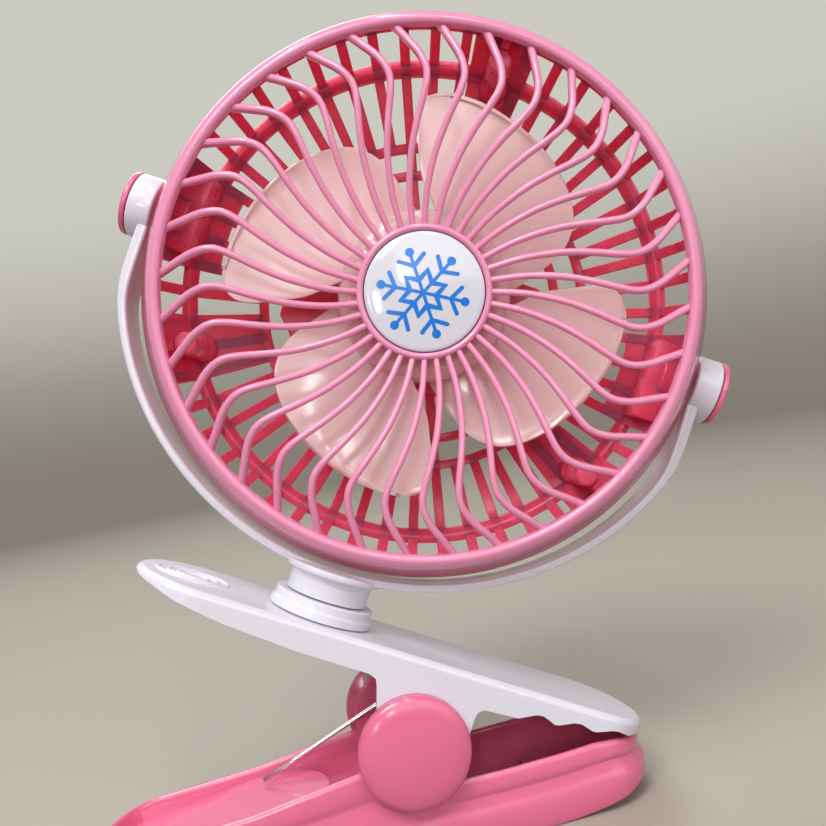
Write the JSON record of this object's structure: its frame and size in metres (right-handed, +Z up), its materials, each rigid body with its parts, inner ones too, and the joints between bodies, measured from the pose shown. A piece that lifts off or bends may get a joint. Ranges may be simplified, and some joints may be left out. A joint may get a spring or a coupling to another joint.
{
  "type": "clip fan",
  "caption": "Small battery fan with a round caged head that tilts in a U-shaped yoke, swivelling on the upper jaw of a spring clip.",
  "frame": {"origin": "middle of the lower jaw's flat base, on the surface the fan stands on", "axes": "+Z up, +X along the clip towards the nose of its jaws, -Y the way the fan faces"},
  "size_m": [0.2028, 0.0793, 0.2355],
  "materials": {
    "pale_pink_abs": "glossy moulded light pink",
    "deep_pink_abs": "glossy moulded saturated pink",
    "pink_abs": "glossy moulded pink",
    "white_abs": "glossy moulded cool white",
    "badge_white": "glossy white disc with a printed blue snowflake and a thin pink ring",
    "blade_plastic": "slightly translucent pale salmon, moulded with faint ripples",
    "zinc_steel": "zinc-plated steel",
    "spring_steel": "bright drawn spring wire",
    "motor_steel": "nickel-plated sheet steel",
    "black_rubber": "matt black moulded rubber",
    "black_nylon": "black nylon sheet",
    "cell_sleeve": "blue heat-shrink sleeve over a metal can",
    "board_green": "green solder mask on glass-fibre board",
    "light_lens": "clear moulded light guide"
  },
  "bodies": {
    "lower_jaw": {"lower_jaw": "pink_abs", "clip_pin": "zinc_steel", "ear_cap_near": "pink_abs", "ear_cap_far": "pink_abs", "torsion_spring": "spring_steel"},
    "upper_jaw": {"upper_jaw": "white_abs", "swivel_collar": "white_abs"},
    "yoke": {"yoke": "white_abs", "swivel_washer": "zinc_steel", "swivel_screw": "zinc_steel", "pivot_cap_left": "pink_abs", "pivot_cap_right": "pink_abs"},
    "head": {"front_guard": "pale_pink_abs", "hub_badge": "badge_white", "rear_guard": "deep_pink_abs", "pod_cover": "deep_pink_abs", "motor_body": "motor_steel", "wire_grommet": "black_rubber", "battery_cell": "cell_sleeve", "battery_contact_left": "motor_steel", "battery_contact_right": "motor_steel", "circuit_board": "board_green", "usb_socket": "motor_steel", "light_pipe": "light_lens", "guard_screw_1": "zinc_steel", "guard_screw_2": "zinc_steel", "guard_screw_3": "zinc_steel", "motor_screw_1": "zinc_steel", "motor_screw_2": "zinc_steel", "pivot_screw_left": "zinc_steel", "pivot_screw_right": "zinc_steel", "pivot_washer_left": "black_nylon", "pivot_washer_right": "black_nylon", "cover_screw_left": "zinc_steel", "cover_screw_right": "zinc_steel"},
    "impeller": {"impeller": "blade_plastic", "motor_shaft": "motor_steel"},
    "power_button": {"power_button": "white_abs"}
  },
  "joints": [
    {"name": "clip_hinge", "type": "hinge", "parent": "lower_jaw", "child": "upper_jaw", "pos_m": [0.0104, 0, 0.0299], "axis": [0, -1, 0], "range_deg": [0, 44], "stiffness_Nm_per_rad": 0.35, "springref_deg": -85.94, "deforming": ["torsion_spring"]},
    {"name": "yoke_swivel", "type": "hinge", "parent": "upper_jaw", "child": "yoke", "pos_m": [0.038, 0, 0.15371], "axis": [0.4741, 0, 0.8805], "continuous": true},
    {"name": "head_tilt", "type": "hinge", "parent": "yoke", "child": "head", "pos_m": [0.038, 0, 0.15371], "axis": [0.8729, -0.1305, -0.47], "continuous": true},
    {"name": "impeller_spin", "type": "hinge", "parent": "head", "child": "impeller", "pos_m": [0.038, 0, 0.15371], "axis": [0.1445, 0.9895, -0.0065], "continuous": true},
    {"name": "button_press", "type": "slide", "parent": "head", "child": "power_button", "axis": [-0.1445, -0.9895, 0.0065], "range_m": [0, 0.0012], "stiffness_N_per_m": 250, "springref_m": -0.002}
  ]
}
